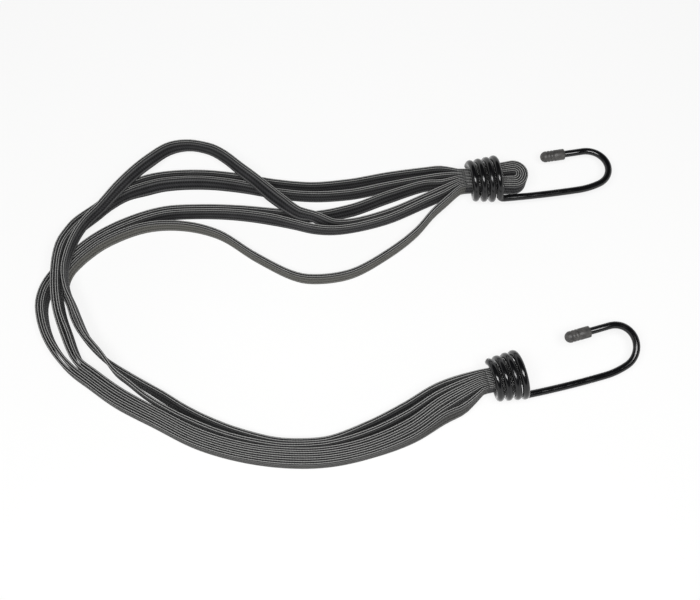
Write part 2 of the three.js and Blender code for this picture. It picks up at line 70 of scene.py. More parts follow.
# Free strands, from the upper coil round to the lower one. Each point is x, y, the height of the tape's
# lower edge above the table, and the tape's lean in degrees where it has one: 0 stands on edge, and a
# negative lean tips the upper edge out of the U. The points beside the coils follow from the hooks.
ROUTES = {
    "strand_a": [
        (0.0569, 0.0592, 0.0065), (0.0480, 0.0555, 0.0050), (0.0282, 0.0477, 0.0020),
        (0.0080, 0.0425, 0.0006), (-0.0026, 0.0416, 0.0025), (-0.0126, 0.0424, 0.0104),
        (-0.0193, 0.0438, 0.0106, -10), (-0.0282, 0.0499, 0.0106, -21),
        (-0.0356, 0.0560, 0.0106, -25), (-0.0431, 0.0631, 0.0106, -18),
        (-0.0512, 0.0699, 0.0106, -15), (-0.0613, 0.0794, 0.0086, -11),
        (-0.0710, 0.0864, 0.0050, -3), (-0.0819, 0.0890, 0.0040, -1), (-0.0918, 0.0863, 0.0050, -5),
        (-0.1016, 0.0766, 0.0084, -8), (-0.1090, 0.0678, 0.0106, -8), (-0.1168, 0.0585, 0.0106, -8),
        (-0.1255, 0.0466, 0.0106, -2), (-0.1318, 0.0390, 0.0106), (-0.1361, 0.0309, 0.0106),
        (-0.1392, 0.0203, 0.0106), (-0.1401, 0.0100, 0.0106), (-0.1377, -0.0004, 0.0106),
        (-0.1339, -0.0077, 0.0106), (-0.1303, -0.0153, 0.0106), (-0.1251, -0.0252, 0.0106),
        (-0.1164, -0.0354, 0.0106), (-0.1091, -0.0445, 0.0104), (-0.1033, -0.0486, 0.0075),
        (-0.0933, -0.0556, 0.0025), (-0.0762, -0.0648, 0.0000), (-0.0530, -0.0741, 0.0000),
        (-0.0318, -0.0788, 0.0000), (-0.0220, -0.0797, 0.0000), (-0.0034, -0.0786, 0.0000),
        (0.0159, -0.0738, 0.0010, 7), (0.0351, -0.0653, 0.0035, 8), (0.0522, -0.0546, 0.0065, 3),
    ],
    "strand_b1": [
        (0.0565, 0.0712, 0.0065), (0.0477, 0.0711, 0.0050), (0.0278, 0.0698, 0.0020),
        (0.0075, 0.0668, 0.0000), (-0.0127, 0.0648, 0.0000), (-0.0330, 0.0666, 0.0000),
        (-0.0533, 0.0703, 0.0000), (-0.0736, 0.0724, 0.0000), (-0.0939, 0.0714, 0.0000),
        (-0.1055, 0.0686, 0.0000), (-0.1155, 0.0635, 0.0000), (-0.1244, 0.0563, 0.0000),
        (-0.1309, 0.0504, 0.0003), (-0.1377, 0.0417, 0.0040), (-0.1412, 0.0332, 0.0086),
        (-0.1440, 0.0256, 0.0106), (-0.1453, 0.0173, 0.0106), (-0.1451, 0.0058, 0.0106),
        (-0.1438, -0.0045, 0.0102), (-0.1424, -0.0131, 0.0050), (-0.1397, -0.0215, 0.0010),
        (-0.1356, -0.0306, 0.0000), (-0.1314, -0.0370, 0.0000), (-0.1221, -0.0443, 0.0000),
        (-0.1084, -0.0536, 0.0000), (-0.0888, -0.0641, 0.0000), (-0.0669, -0.0750, 0.0000),
        (-0.0441, -0.0815, 0.0000), (-0.0219, -0.0841, 0.0000), (-0.0026, -0.0835, 0.0000),
        (0.0175, -0.0790, 0.0006), (0.0374, -0.0706, 0.0030), (0.0535, -0.0597, 0.0060),
    ],
    "strand_b2": [
        (0.0565, 0.0669, 0.0065), (0.0476, 0.0662, 0.0050), (0.0277, 0.0638, 0.0020),
        (0.0075, 0.0604, 0.0000), (-0.0127, 0.0591, 0.0000), (-0.0330, 0.0612, 0.0000),
        (-0.0533, 0.0655, 0.0000, -9), (-0.0735, 0.0677, 0.0000, -13),
        (-0.0938, 0.0666, 0.0000, -13), (-0.1044, 0.0638, 0.0000, -13),
        (-0.1149, 0.0600, 0.0000, -4), (-0.1235, 0.0538, 0.0000), (-0.1294, 0.0479, 0.0003),
        (-0.1354, 0.0399, 0.0040), (-0.1387, 0.0321, 0.0086), (-0.1414, 0.0249, 0.0106),
        (-0.1428, 0.0173, 0.0106), (-0.1426, 0.0058, 0.0106), (-0.1412, -0.0045, 0.0102),
        (-0.1397, -0.0128, 0.0050), (-0.1368, -0.0206, 0.0010), (-0.1332, -0.0294, 0.0000),
        (-0.1297, -0.0353, 0.0000), (-0.1207, -0.0421, 0.0000), (-0.1072, -0.0515, 0.0000),
        (-0.0878, -0.0621, 0.0000), (-0.0662, -0.0728, 0.0000), (-0.0438, -0.0794, 0.0000),
        (-0.0220, -0.0820, 0.0000), (-0.0030, -0.0813, 0.0000), (0.0167, -0.0767, 0.0006),
        (0.0365, -0.0682, 0.0030), (0.0529, -0.0573, 0.0060),
    ],
    "strand_c1": [
        (0.0569, 0.0630, 0.0065), (0.0480, 0.0630, 0.0050, -3), (0.0277, 0.0575, 0.0020, -10),
        (0.0075, 0.0505, 0.0000, -10), (-0.0127, 0.0469, 0.0000, -3), (-0.0329, 0.0489, 0.0000),
        (-0.0531, 0.0508, 0.0000), (-0.0733, 0.0513, 0.0000), (-0.0934, 0.0499, 0.0000),
        (-0.1134, 0.0429, 0.0000), (-0.1288, 0.0338, 0.0000), (-0.1406, 0.0229, 0.0000),
        (-0.1483, 0.0138, 0.0000), (-0.1530, 0.0050, 0.0000), (-0.1545, -0.0038, 0.0000),
        (-0.1532, -0.0121, 0.0000), (-0.1493, -0.0224, 0.0000), (-0.1435, -0.0316, 0.0000),
        (-0.1355, -0.0403, 0.0000), (-0.1250, -0.0480, 0.0000), (-0.1109, -0.0578, 0.0000),
        (-0.0909, -0.0681, 0.0000), (-0.0686, -0.0791, 0.0000), (-0.0450, -0.0858, 0.0000),
        (-0.0219, -0.0886, 0.0000), (-0.0018, -0.0879, 0.0000), (0.0191, -0.0832, 0.0000),
        (0.0393, -0.0755, 0.0010, 6), (0.0551, -0.0658, 0.0035, 14), (0.0635, -0.0619, 0.0045, 10),
        (0.0695, -0.0572, 0.0065, 5),
    ],
    "strand_c2": [
        (0.0574, 0.0564, 0.0065), (0.0480, 0.0526, 0.0050), (0.0282, 0.0448, 0.0015, 2),
        (0.0080, 0.0399, 0.0000, 4), (-0.0026, 0.0388, 0.0000, 3), (-0.0126, 0.0398, 0.0000),
        (-0.0227, 0.0424, 0.0000, -1), (-0.0343, 0.0452, 0.0000, -6), (-0.0530, 0.0480, 0.0000, -4),
        (-0.0732, 0.0488, 0.0000), (-0.0929, 0.0474, 0.0000), (-0.1124, 0.0404, 0.0000),
        (-0.1273, 0.0318, 0.0000), (-0.1388, 0.0211, 0.0000), (-0.1460, 0.0122, 0.0000),
        (-0.1505, 0.0042, 0.0000), (-0.1519, -0.0038, 0.0000), (-0.1508, -0.0115, 0.0000),
        (-0.1472, -0.0214, 0.0000), (-0.1416, -0.0301, 0.0000), (-0.1339, -0.0384, 0.0000),
        (-0.1238, -0.0460, 0.0000), (-0.1098, -0.0557, 0.0000), (-0.0899, -0.0660, 0.0000),
        (-0.0678, -0.0770, 0.0000), (-0.0446, -0.0837, 0.0000), (-0.0219, -0.0863, 0.0000),
        (-0.0022, -0.0857, 0.0000), (0.0183, -0.0811, 0.0003), (0.0383, -0.0728, 0.0015, 2),
        (0.0543, -0.0625, 0.0045, 4),
    ],
    "strand_d": [
        (0.0583, 0.0520, 0.0065), (0.0519, 0.0464, 0.0050), (0.0427, 0.0360, 0.0030),
        (0.0281, 0.0247, 0.0010), (0.0075, 0.0131, 0.0000), (-0.0125, 0.0103, 0.0000),
        (-0.0225, 0.0123, 0.0000), (-0.0427, 0.0231, 0.0000), (-0.0629, 0.0363, 0.0000),
        (-0.0832, 0.0415, 0.0000), (-0.1033, 0.0403, 0.0000), (-0.1229, 0.0318, 0.0000),
        (-0.1321, 0.0245, 0.0000), (-0.1370, 0.0193, 0.0000), (-0.1399, 0.0154, 0.0000),
        (-0.1418, 0.0105, 0.0000), (-0.1421, 0.0050, 0.0000), (-0.1410, -0.0007, 0.0000),
        (-0.1380, -0.0064, 0.0000), (-0.1357, -0.0124, 0.0000), (-0.1325, -0.0184, 0.0000),
        (-0.1282, -0.0241, 0.0000), (-0.1220, -0.0305, 0.0000), (-0.1144, -0.0368, 0.0000),
        (-0.1034, -0.0440, 0.0000, 5), (-0.0863, -0.0543, 0.0000, 14),
        (-0.0714, -0.0631, 0.0000, 13), (-0.0515, -0.0711, 0.0000, 4), (-0.0318, -0.0763, 0.0000),
        (-0.0220, -0.0774, 0.0000), (-0.0038, -0.0764, 0.0000), (0.0149, -0.0704, 0.0010, 10),
        (0.0336, -0.0616, 0.0035, 13), (0.0514, -0.0511, 0.0065, 5),
    ],
}

# The order of the strands across each coil, from its left side to its right, seen along its axis
STACK_ORDER = {
    "upper": ("strand_b1", "strand_b2", "strand_c1", "strand_a", "strand_c2", "strand_d"),
    "lower": ("strand_d", "strand_a", "strand_b2", "strand_b1", "strand_c2", "strand_c1"),
}

# Middle of the footprint in the routes' own coordinates, where the origin is
FOOTPRINT_MIDDLE = (-0.0005, 0.0001)

# A quarter of the tape's section, from the selvedge's groove to the face: share of half the thickness,
# drop below the selvedge in groove depths, and how much painted highlight it gets, most on the ridge
SELVEDGE = ((0, 1, 0), (0.3, 0.6, 0.05), (0.55, 0, 1), (0.8, 0.3, 0.15), (0.97, 1.1, 0))

# On a face: share of half the width, and how much painted highlight it gets, which makes the face's first rib
# paler
FACE_PLACES = ((0.84, 0), (0.67, 0.22), (0.5, 0))

# Halves of strands with painted bounce light from the white table on one face: which face it is, 1 inside the
# U and -1 outside, and how strong that painted light is
BOUNCE_LIT = {("strand_d", "upper"): (1, 0.8), ("strand_c1", "lower"): (-1, 0.25)}
NO_BOUNCE = (1, 0)

# That painted light reaches from the tape's lower edge up to this share of the upper half of its face.
BOUNCE_TOP = 0.7

# Height of a herringbone stroke against that of a rib
STROKE_HEIGHT = 0.45

# Share of the painted bounce light in the hollows of the weave, and how much more is painted on its ribs
HOLLOW_BOUNCE = 0.4
RIB_BOUNCE = 0.7

# Strength of the painted highlight on the ridges between the weave's strokes, and how much more it has on
# them
LOW_PALE = 0.6
TOP_PALE = 0.12

# Sizes of the patterns in the finishes
HANDLED_PATCH = 0.0154
ORANGE_PEEL = 0.001111
SCUFF = 0.00476
BLOOM_BLOT = 0.00303
MOULD_GRAIN = 0.0004

# Share of the paper's look that is plain white and takes no shade
PAPER_GLOW = 0.8

# How far the paper lies under the part, so that no two faces share a plane
PAPER_DROP = 0.0002

# How far outside a coil the strands are still pressed together
MOUTH_REACH = 0.012

# How deep a cap's bore is drawn, in radii of its lip
BORE_DEPTH = 5

# Sockets of a mix node that mixes colours
MIX_SHARE, MIX_FROM, MIX_TO = 0, 6, 7
MIX_RESULT = 2

# Rings of the mesh
CURVE_SAMPLES = 12
LEG_RINGS = 14
BEND_RINGS = 25
COIL_RINGS_PER_TURN = 40
ELBOW_RINGS = 8
SHANK_RINGS = 8
EASE_RINGS = 8
BOW_RINGS = 36
WIRE_SIDES = 24
CAP_SIDES = 36
DOME_RINGS = 9
LIP_RINGS = 6


def linear(code):
    """An sRGB hex colour as linear red, green and blue."""
    shares = [int(code[i : i + 2], 16) / 255 for i in (1, 3, 5)]
    return [s / 12.92 if s <= 0.04045 else ((s + 0.055) / 1.055) ** 2.4 for s in shares]


def length(name, description, default):
    """A length that the user may change."""
    return FloatProperty(
        name=name, description=description, default=default, min=0.00001, precision=5, unit="LENGTH"
    )


def angle(name, description, degrees):
    """An angle that the user may change."""
    return FloatProperty(name=name, description=description, default=math.radians(degrees), subtype="ANGLE")


def colour(name, description, code):
    """A colour that the user may change."""
    return FloatVectorProperty(
        name=name, description=description, default=linear(code), min=0, max=1, size=3, subtype="COLOR"
    )


class TapeSettings(bpy.types.PropertyGroup):
    """Sizes and colours of the woven elastic tape"""

    width: length("Width", "From selvedge to selvedge", 0.01)
    thickness: length("Thickness", "From face to face where it lies free", 0.002)
    gripped: length("Gripped thickness", "From face to face in the coils", 0.0015)
    groove: length("Groove depth", "Of the groove along the middle of each selvedge", 0.0004)
    gap: length("Gap", "Between tapes that lie side by side in the coils", 0.0003)
    ring_step: length("Ring step", "Between the rings of a strand's mesh", 0.003)
    loop_eye: length("Loop eye", "Width of the eye in the innermost end loop", 0.0027)
    upper_reach: length("Upper reach", "From the upper coil's first turn to its loops' bends", 0.023)
    lower_reach: length("Lower reach", "From the lower coil's first turn to its loops' bends", 0.0102)
    mouth_lead: length("Mouth lead", "How far the end loops stand out of the coil's mouth", 0.003)
    mouth_straight: length("Mouth straight", "How far the strands run straight on from there", 0.002)
    mouth_ease: length("Mouth ease", "How far the strands take to swell outside a coil", 0.014)
    mouth_flare: FloatProperty(
        name="Mouth flare", description="How fast the strands open to full width outside a coil", default=0.8
    )
    rib: length("Rib", "Width of one bundle of covered rubber threads in the weave", 0.00333)
    pick: length("Pick", "Length of one herringbone stroke in the weave", 0.0013)
    yarn: colour("Yarn", "Black yarn in the hollows of the weave", "#08080a")
    crown: colour("Crown", "Yarn on top of the ribs, where it is rubbed", "#424244")
    # Colour of the painted highlight along the selvedges' ridges and on the faces' first ribs
    ridge_highlight: colour("Highlight", "Pale yarn along the selvedges", "#c2c2c0")
    # Colour of the painted bounce light from the white table on some faces
    painted_bounce: colour("Bounce", "On the dusty faces", "#5f5e59")


class HookSettings(bpy.types.PropertyGroup):
    """Sizes and colour of the hooks' coated wire"""

    diameter: length("Diameter", "Of the wire with its coat", 0.0037)
    turns: FloatProperty(name="Turns", description="Of the coil that grips the tape", default=3.5, min=1)
    pitch: length("Pitch", "From turn to turn of the coil", 0.0044)
    small_radius: length("Small radius", "Of the coil's first turn, to the middle of the wire", 0.0093)
    large_radius: length("Large radius", "Of the coil's last turn, to the middle of the wire", 0.0111)
    closing: length("Closing", "How much nearer the coil's last turn lies to its neighbour", 0.0006)
    clearance: length("Clearance", "Between the coil and the tape in it", 0.0003)
    elbow_radius: length("Elbow radius", "Where the wire leaves the coil", 0.0024)
    shank: length("Shank", "Length after the elbow", 0.0406)
    shank_bend: angle("Shank bend", "Turned along the shank", 4.5)
    ease_radius: length("Ease radius", "Where the shank begins to bend", 0.04)
    ease_angle: angle("Ease angle", "Turned before the bow", 18)
    bow_radius: length("Bow radius", "Of the hook's round bow", 0.0111)
    bow_angle: angle("Bow angle", "Turned by the bow", 162)
    tip: length("Tip", "Straight length after the bow", 0.022)
    upper_roll: angle("Upper roll", "Of the upper hook about its coil's axis", -4)
    lower_roll: angle("Lower roll", "Of the lower hook about its coil's axis", 22)
    chamfer: length("Chamfer", "On the wire's cut end", 0.0003)
    coat: colour("Coat", "Gloss black coat of the wire", "#08080a")


class CapSettings(bpy.types.PropertyGroup):
    """Sizes and colours of the tip caps"""

    diameter: length("Diameter", "Of the cap", 0.006)
    depth: length("Length", "From the dome to the mouth", 0.0133)
    end_gap: length("End gap", "From the wire's end to the dome's outside", 0.00185)
    lip: length("Lip", "Radius of the rounded mouth", 0.0005)
    ring_pitch: length("Ring pitch", "Between the shallow rings behind the dome", 0.0017)
    ring_depth: length("Ring depth", "Of those rings", 0.00035)
    rings: IntProperty(name="Rings", description="Shallow rings behind the dome", default=3, min=0)
    skin: colour("Skin", "Dark grey soft PVC", "#2e2d2d")
    bloom: colour("Bloom", "Paler dusty bloom on it", "#595755")


class StageSettings(bpy.types.PropertyGroup):
    """The photographer's table, camera and light"""

    camera: FloatVectorProperty(
        name="Camera",
        description="Where the camera stands",
        default=(0.008, -0.1996, 0.4949),
        subtype="TRANSLATION",
    )
    target: FloatVectorProperty(
        name="Target",
        description="What the camera looks at",
        default=(0.008, 0.0004, 0),
        subtype="TRANSLATION",
    )
    lens: FloatProperty(name="Lens", description="Focal length in millimetres", default=52.0, min=1)
    lamp: FloatVectorProperty(
        name="Lamp",
        description="Where the soft box hangs",
        default=(0.0, -0.22, 0.62),
        subtype="TRANSLATION",
    )
    lamp_length: length("Lamp length", "Of the soft box, from side to side", 0.5)
    lamp_depth: length("Lamp depth", "Of the soft box, from front to back", 0.22)
    lamp_power: FloatProperty(name="Lamp power", description="In watts", default=4.5, min=0)
    walls: FloatProperty(name="Walls", description="Brightness of the white walls", default=1.0, min=0)
    ceiling: FloatProperty(name="Ceiling", description="Brightness of the dark ceiling", default=0.06, min=0)
    wall_top: angle("Wall top", "Height of the white walls above the horizon", 16)
    ceiling_rim: angle("Ceiling rim", "Height above the horizon where the ceiling is dark", 28)
    floor_size: length("Floor", "Side of the table", 40)
    floor: colour("Paper", "Of the table's paper", "#f6f6f5")


def add_node(tree, kind, inputs=(), **settings):
    """A new node with its settings. Inputs maps a socket's name or number to a value or a linked output."""
    node = tree.nodes.new(kind)
    for name, value in settings.items():
        setattr(node, name, value)
    for socket, value in dict(inputs).items():
        if isinstance(value, bpy.types.NodeSocket):
            tree.links.new(value, node.inputs[socket])
        else:
            node.inputs[socket].default_value = value
    return node


def new_material(name):
    """A material with an empty node tree."""
    material = bpy.data.materials.new(name)
    material.use_nodes = True
    material.node_tree.nodes.clear()
    return material


def woven_elastic_tape(tape):
    """Polyester yarn woven in herringbone over covered rubber threads. It is matt and dark, ribbed along its
    length, and its selvedges show two pale lines of painted highlight with a dark groove between them."""
    made = bpy.data.materials.get("woven_elastic_tape")
    if made:
        return made
    material = new_material("woven_elastic_tape")
    tree = material.node_tree
    place = add_node(tree, "ShaderNodeUVMap", uv_map="weave")
    split = add_node(tree, "ShaderNodeSeparateXYZ", {0: place.outputs["UV"]})
    ribs = add_node(tree, "ShaderNodeMath", {0: split.outputs["Y"], 1: 1 / tape.rib}, operation="MULTIPLY")
    # The strokes lean one way on a rib and the other way on the next.
    zigzag = add_node(tree, "ShaderNodeMath", {0: ribs.outputs[0], 1: 1.0}, operation="PINGPONG")
    # A real pick is about 0.6 mm long. It is drawn about twice as long, so that it shows.
    picks = add_node(tree, "ShaderNodeMath", {0: split.outputs["X"], 1: 1 / tape.pick}, operation="MULTIPLY")
    stroke = add_node(tree, "ShaderNodeMath", {0: picks.outputs[0], 1: zigzag.outputs[0]}, operation="ADD")
    turn = add_node(tree, "ShaderNodeMath", {0: stroke.outputs[0], 1: 2 * math.pi}, operation="MULTIPLY")
    wave = add_node(tree, "ShaderNodeMath", {0: turn.outputs[0]}, operation="SINE")
    # From 0 between the strokes to 1 on them
    thread = add_node(tree, "ShaderNodeMath", {0: wave.outputs[0], 1: 0.5, 2: 0.5}, operation="MULTIPLY_ADD")
    half_turn = add_node(tree, "ShaderNodeMath", {0: ribs.outputs[0], 1: math.pi}, operation="MULTIPLY")
    arch = add_node(tree, "ShaderNodeMath", {0: half_turn.outputs[0]}, operation="SINE")
    # From 0 in the hollows to 1 on the ribs
    rib = add_node(tree, "ShaderNodeMath", {0: arch.outputs[0], 1: 2.0}, operation="POWER")
    height = add_node(
        tree,
        "ShaderNodeMath",
        {0: thread.outputs[0], 1: STROKE_HEIGHT, 2: rib.outputs[0]},
        operation="MULTIPLY_ADD",
    )
    # Slow changes of shade along the tape, where it was handled
    solid = add_node(tree, "ShaderNodeTexCoord")
    worn = add_node(
        tree,
        "ShaderNodeTexNoise",
        {"Vector": solid.outputs["Object"], "Scale": 1 / HANDLED_PATCH, "Detail": 3.0, "Roughness": 0.6},
    )
    shade = add_node(
        tree, "ShaderNodeMath", {0: height.outputs[0], 1: worn.outputs["Fac"]}, operation="MULTIPLY"
    )
    # Painted bounce light from the table, stronger on the ribs than in the hollows.
    painted_bounce = add_node(tree, "ShaderNodeAttribute", attribute_name="painted_bounce")
    ribbed = add_node(
        tree, "ShaderNodeMath", {0: height.outputs[0], 1: RIB_BOUNCE, 2: HOLLOW_BOUNCE}, operation="MULTIPLY_ADD"
    )
    bounce_share = add_node(
        tree,
        "ShaderNodeMath",
        {0: painted_bounce.outputs["Fac"], 1: ribbed.outputs[0]},
        operation="MULTIPLY",
        use_clamp=True,
    )
    cloth = add_node(
        tree,
        "ShaderNodeMix",
        {MIX_SHARE: shade.outputs[0], MIX_FROM: (*tape.yarn, 1), MIX_TO: (*tape.crown, 1)},
        data_type="RGBA",
    )
    bounce_lit_cloth = add_node(
        tree,
        "ShaderNodeMix",
        {MIX_SHARE: bounce_share.outputs[0], MIX_FROM: cloth.outputs[MIX_RESULT], MIX_TO: (*tape.painted_bounce, 1)},
        data_type="RGBA",
    )
    # Painted highlight on the ridges, which hardly changes from stroke to stroke.
    ridge = add_node(tree, "ShaderNodeAttribute", attribute_name="ridge")
    highlight_strength = add_node(
        tree, "ShaderNodeMath", {0: thread.outputs[0], 1: TOP_PALE, 2: LOW_PALE}, operation="MULTIPLY_ADD"
    )
    pale = add_node(
        tree, "ShaderNodeMath", {0: ridge.outputs["Fac"], 1: highlight_strength.outputs[0]}, operation="MULTIPLY"
    )
    edged = add_node(
        tree,
        "ShaderNodeMix",
        {MIX_SHARE: pale.outputs[0], MIX_FROM: bounce_lit_cloth.outputs[MIX_RESULT], MIX_TO: (*tape.ridge_highlight, 1)},
        data_type="RGBA",
    )
    rough = add_node(
        tree, "ShaderNodeMapRange", {"Value": thread.outputs[0], "To Min": 0.92, "To Max": 0.72}
    )
    relief = add_node(
        tree, "ShaderNodeBump", {"Height": height.outputs[0], "Strength": 0.7, "Distance": 0.00016}
    )
    surface = add_node(
        tree,
        "ShaderNodeBsdfPrincipled",
        {
            "Base Color": edged.outputs[MIX_RESULT],
            "Roughness": rough.outputs["Result"],
            "Normal": relief.outputs["Normal"],
            "Sheen Weight": 0.05,
            "Sheen Roughness": 0.4,
            "Specular IOR Level": 0.2,
        },
    )
    add_node(tree, "ShaderNodeOutputMaterial", {"Surface": surface.outputs["BSDF"]})
    return material


def coated_steel_wire(hook):
    """Spring steel wire with a smooth black polymer coat. It is glossy, with sharp lamp streaks, pale rims
    where it mirrors the table and holds some dust, and the faint orange peel of a dipped coat."""
    made = bpy.data.materials.get("coated_steel_wire")
    if made:
        return made
    material = new_material("coated_steel_wire")
    tree = material.node_tree
    solid = add_node(tree, "ShaderNodeTexCoord")
    peel = add_node(
        tree,
        "ShaderNodeTexNoise",
        {"Vector": solid.outputs["Object"], "Scale": 1 / ORANGE_PEEL, "Detail": 1.0},
    )
    # Scuffs, where the coat has lost some gloss
    scuff = add_node(
        tree, "ShaderNodeTexNoise", {"Vector": solid.outputs["Object"], "Scale": 1 / SCUFF, "Detail": 4.0}
    )
    rough = add_node(
        tree,
        "ShaderNodeMapRange",
        {"Value": scuff.outputs["Fac"], "From Min": 0.35, "From Max": 0.75, "To Min": 0.1, "To Max": 0.3},
    )
    relief = add_node(
        tree, "ShaderNodeBump", {"Height": peel.outputs["Fac"], "Strength": 0.1, "Distance": 0.0001}
    )
    surface = add_node(
        tree,
        "ShaderNodeBsdfPrincipled",
        {
            "Base Color": (*hook.coat, 1),
            "Roughness": rough.outputs["Result"],
            "Normal": relief.outputs["Normal"],
            "IOR": 1.5,
            "Sheen Weight": 0.35,
            "Sheen Roughness": 0.25,
        },
    )
    add_node(tree, "ShaderNodeOutputMaterial", {"Surface": surface.outputs["BSDF"]})
    return material


def dipped_pvc_cap(cap):
    """Soft dark grey PVC, dip moulded. It has a dull shine and is a little mottled, with a paler dusty bloom
    and a fine grain."""
    made = bpy.data.materials.get("dipped_pvc_cap")
    if made:
        return made
    material = new_material("dipped_pvc_cap")
    tree = material.node_tree
    solid = add_node(tree, "ShaderNodeTexCoord")
    blots = add_node(
        tree,
        "ShaderNodeTexNoise",
        {"Vector": solid.outputs["Object"], "Scale": 1 / BLOOM_BLOT, "Detail": 5.0, "Roughness": 0.65},
    )
    paled = add_node(
        tree, "ShaderNodeMapRange", {"Value": blots.outputs["Fac"], "From Min": 0.3, "From Max": 0.75}
    )
    skin = add_node(
        tree,
        "ShaderNodeMix",
        {MIX_SHARE: paled.outputs["Result"], MIX_FROM: (*cap.skin, 1), MIX_TO: (*cap.bloom, 1)},
        data_type="RGBA",
    )
    rough = add_node(
        tree, "ShaderNodeMapRange", {"Value": blots.outputs["Fac"], "To Min": 0.32, "To Max": 0.6}
    )
    grain = add_node(
        tree,
        "ShaderNodeTexNoise",
        {"Vector": solid.outputs["Object"], "Scale": 1 / MOULD_GRAIN, "Detail": 2.0},
    )
    relief = add_node(
        tree, "ShaderNodeBump", {"Height": grain.outputs["Fac"], "Strength": 0.35, "Distance": 0.0001}
    )
    surface = add_node(
        tree,
        "ShaderNodeBsdfPrincipled",
        {
            "Base Color": skin.outputs[MIX_RESULT],
            "Roughness": rough.outputs["Result"],
            "Normal": relief.outputs["Normal"],
            "IOR": 1.53,
            "Specular IOR Level": 0.4,
        },
    )
    add_node(tree, "ShaderNodeOutputMaterial", {"Surface": surface.outputs["BSDF"]})
    return material


def loft(name, rings, material, closed=(True, True), weave=None, marks=()):
    """A mesh through rings of points with the same count. Weave is each ring's distance along the tape and
    each of its points' place across it. Marks maps an attribute's name to its values round a ring."""
    count, sides = len(rings), len(rings[0])
    faces = []
    for i in range(count - 1):
        for j in range(sides):
            k = (j + 1) % sides
            faces.append((i * sides + j, (i + 1) * sides + j, (i + 1) * sides + k, i * sides + k))
    if closed[0]:
        faces.append(tuple(range(sides)))
    if closed[1]:
        faces.append(tuple(reversed(range((count - 1) * sides, count * sides))))
    mesh = bpy.data.meshes.new(name)
    mesh.from_pydata([tuple(p) for ring in rings for p in ring], [], faces)
    mesh.shade_smooth()
    if weave:
        along, across = weave
        layer = mesh.uv_layers.new(name="weave")
        for corner in mesh.loops:
            i, j = divmod(corner.vertex_index, sides)
            layer.uv[corner.index].vector = (along[i], across[j])
    for mark, values in dict(marks).items():
        mesh.attributes.new(mark, "FLOAT", "POINT").data.foreach_set("value", values * count)
    mesh.materials.append(material)
    mesh.validate()
    piece = bpy.data.objects.new(name, mesh)
    bpy.context.scene.collection.objects.link(piece)
    return piece


def hook_frame(end):
    """A hook's own frame: +X along the coil's axis towards the bow, +Y to its left, +Z up."""
    swivel = joints[f"{end}_swivel"]
    heading = math.atan2(swivel["axis"][1], swivel["axis"][0])
    return Matrix.Translation(swivel["pos_m"]) @ Matrix.Rotation(heading, 4, "Z")


def rolled_frame(end, hook):
    """A hook's own frame, rolled with its wire about the coil's axis."""
    roll = hook.upper_roll if end == "upper" else hook.lower_roll
    return hook_frame(end) @ Matrix.Rotation(roll, 4, "X")


def coil_length(hook):
    """From the start of a coil's first turn to the end of its last."""
    return hook.turns * hook.pitch


def level(heading):
    """The level direction with this heading."""
    return Vector((math.cos(heading), math.sin(heading), 0))


def round_steps(sides):
    """Angles at even steps round a circle."""
    return [2 * math.pi * i / sides for i in range(sides)]


def facing(place, target):
    """How a camera or a lamp at a place is turned to face a target."""
    return (Vector(target) - Vector(place)).to_track_quat("-Z", "Y").to_euler()


def stack_offset(tape, place):
    """A strand's place across the coil's mouth, to the left of the axis."""
    return (len(NESTS) - 0.5 - place) * (tape.gripped + tape.gap)


def tape_section(tape, thickness):
    """Points round the tape's section: place through its thickness, place across its width, and painted
    highlight.
    """
    face, half = thickness / 2, tape.width / 2
    quarter = [(face * s, half - tape.groove * drop, ridge) for s, drop, ridge in SELVEDGE]
    quarter += [(face, half * share, ridge) for share, ridge in FACE_PLACES]
    right = [*quarter, (face, 0, 0), *[(s, -w, r) for s, w, r in reversed(quarter)]]
    left = [(-s, -w, r) for s, w, r in right[1:-1]]
    return right + left


def tape_across(tape):
    """The place across the weave of each point round the tape's section."""
    return [w + tape.width / 2 for _, w, _ in tape_section(tape, tape.thickness)]


def tape_marks(tape, paled=NO_BOUNCE):
    """The share of painted highlight and of painted bounce light at each point round the tape's section."""
    side, share = paled
    section = tape_section(tape, tape.thickness)
    top = BOUNCE_TOP * tape.width / 2
    painted_bounce = [share if 2 * s * side >= tape.thickness and w < top else 0 for s, w, _ in section]
    return {"ridge": [ridge for _, _, ridge in section], "painted_bounce": painted_bounce}


def squeezed(point, tape, hook):
    """A tape's point in a hook's frame, pressed in from above and below where the coil holds the tape."""
    x, y, z = point
    long = coil_length(hook)
    if x > long + hook.diameter:
        return point
    share = min(max(x / long, 0), 1)
    bore = hook.small_radius + share * (hook.large_radius - hook.small_radius)
    bore -= hook.diameter / 2 + hook.clearance
    bore += tape.mouth_flare * max(0, -x - hook.diameter / 2)
    room = math.sqrt(max(tape.groove**2, bore**2 - y**2))
    return Vector((x, y, min(max(z, -room), room)))


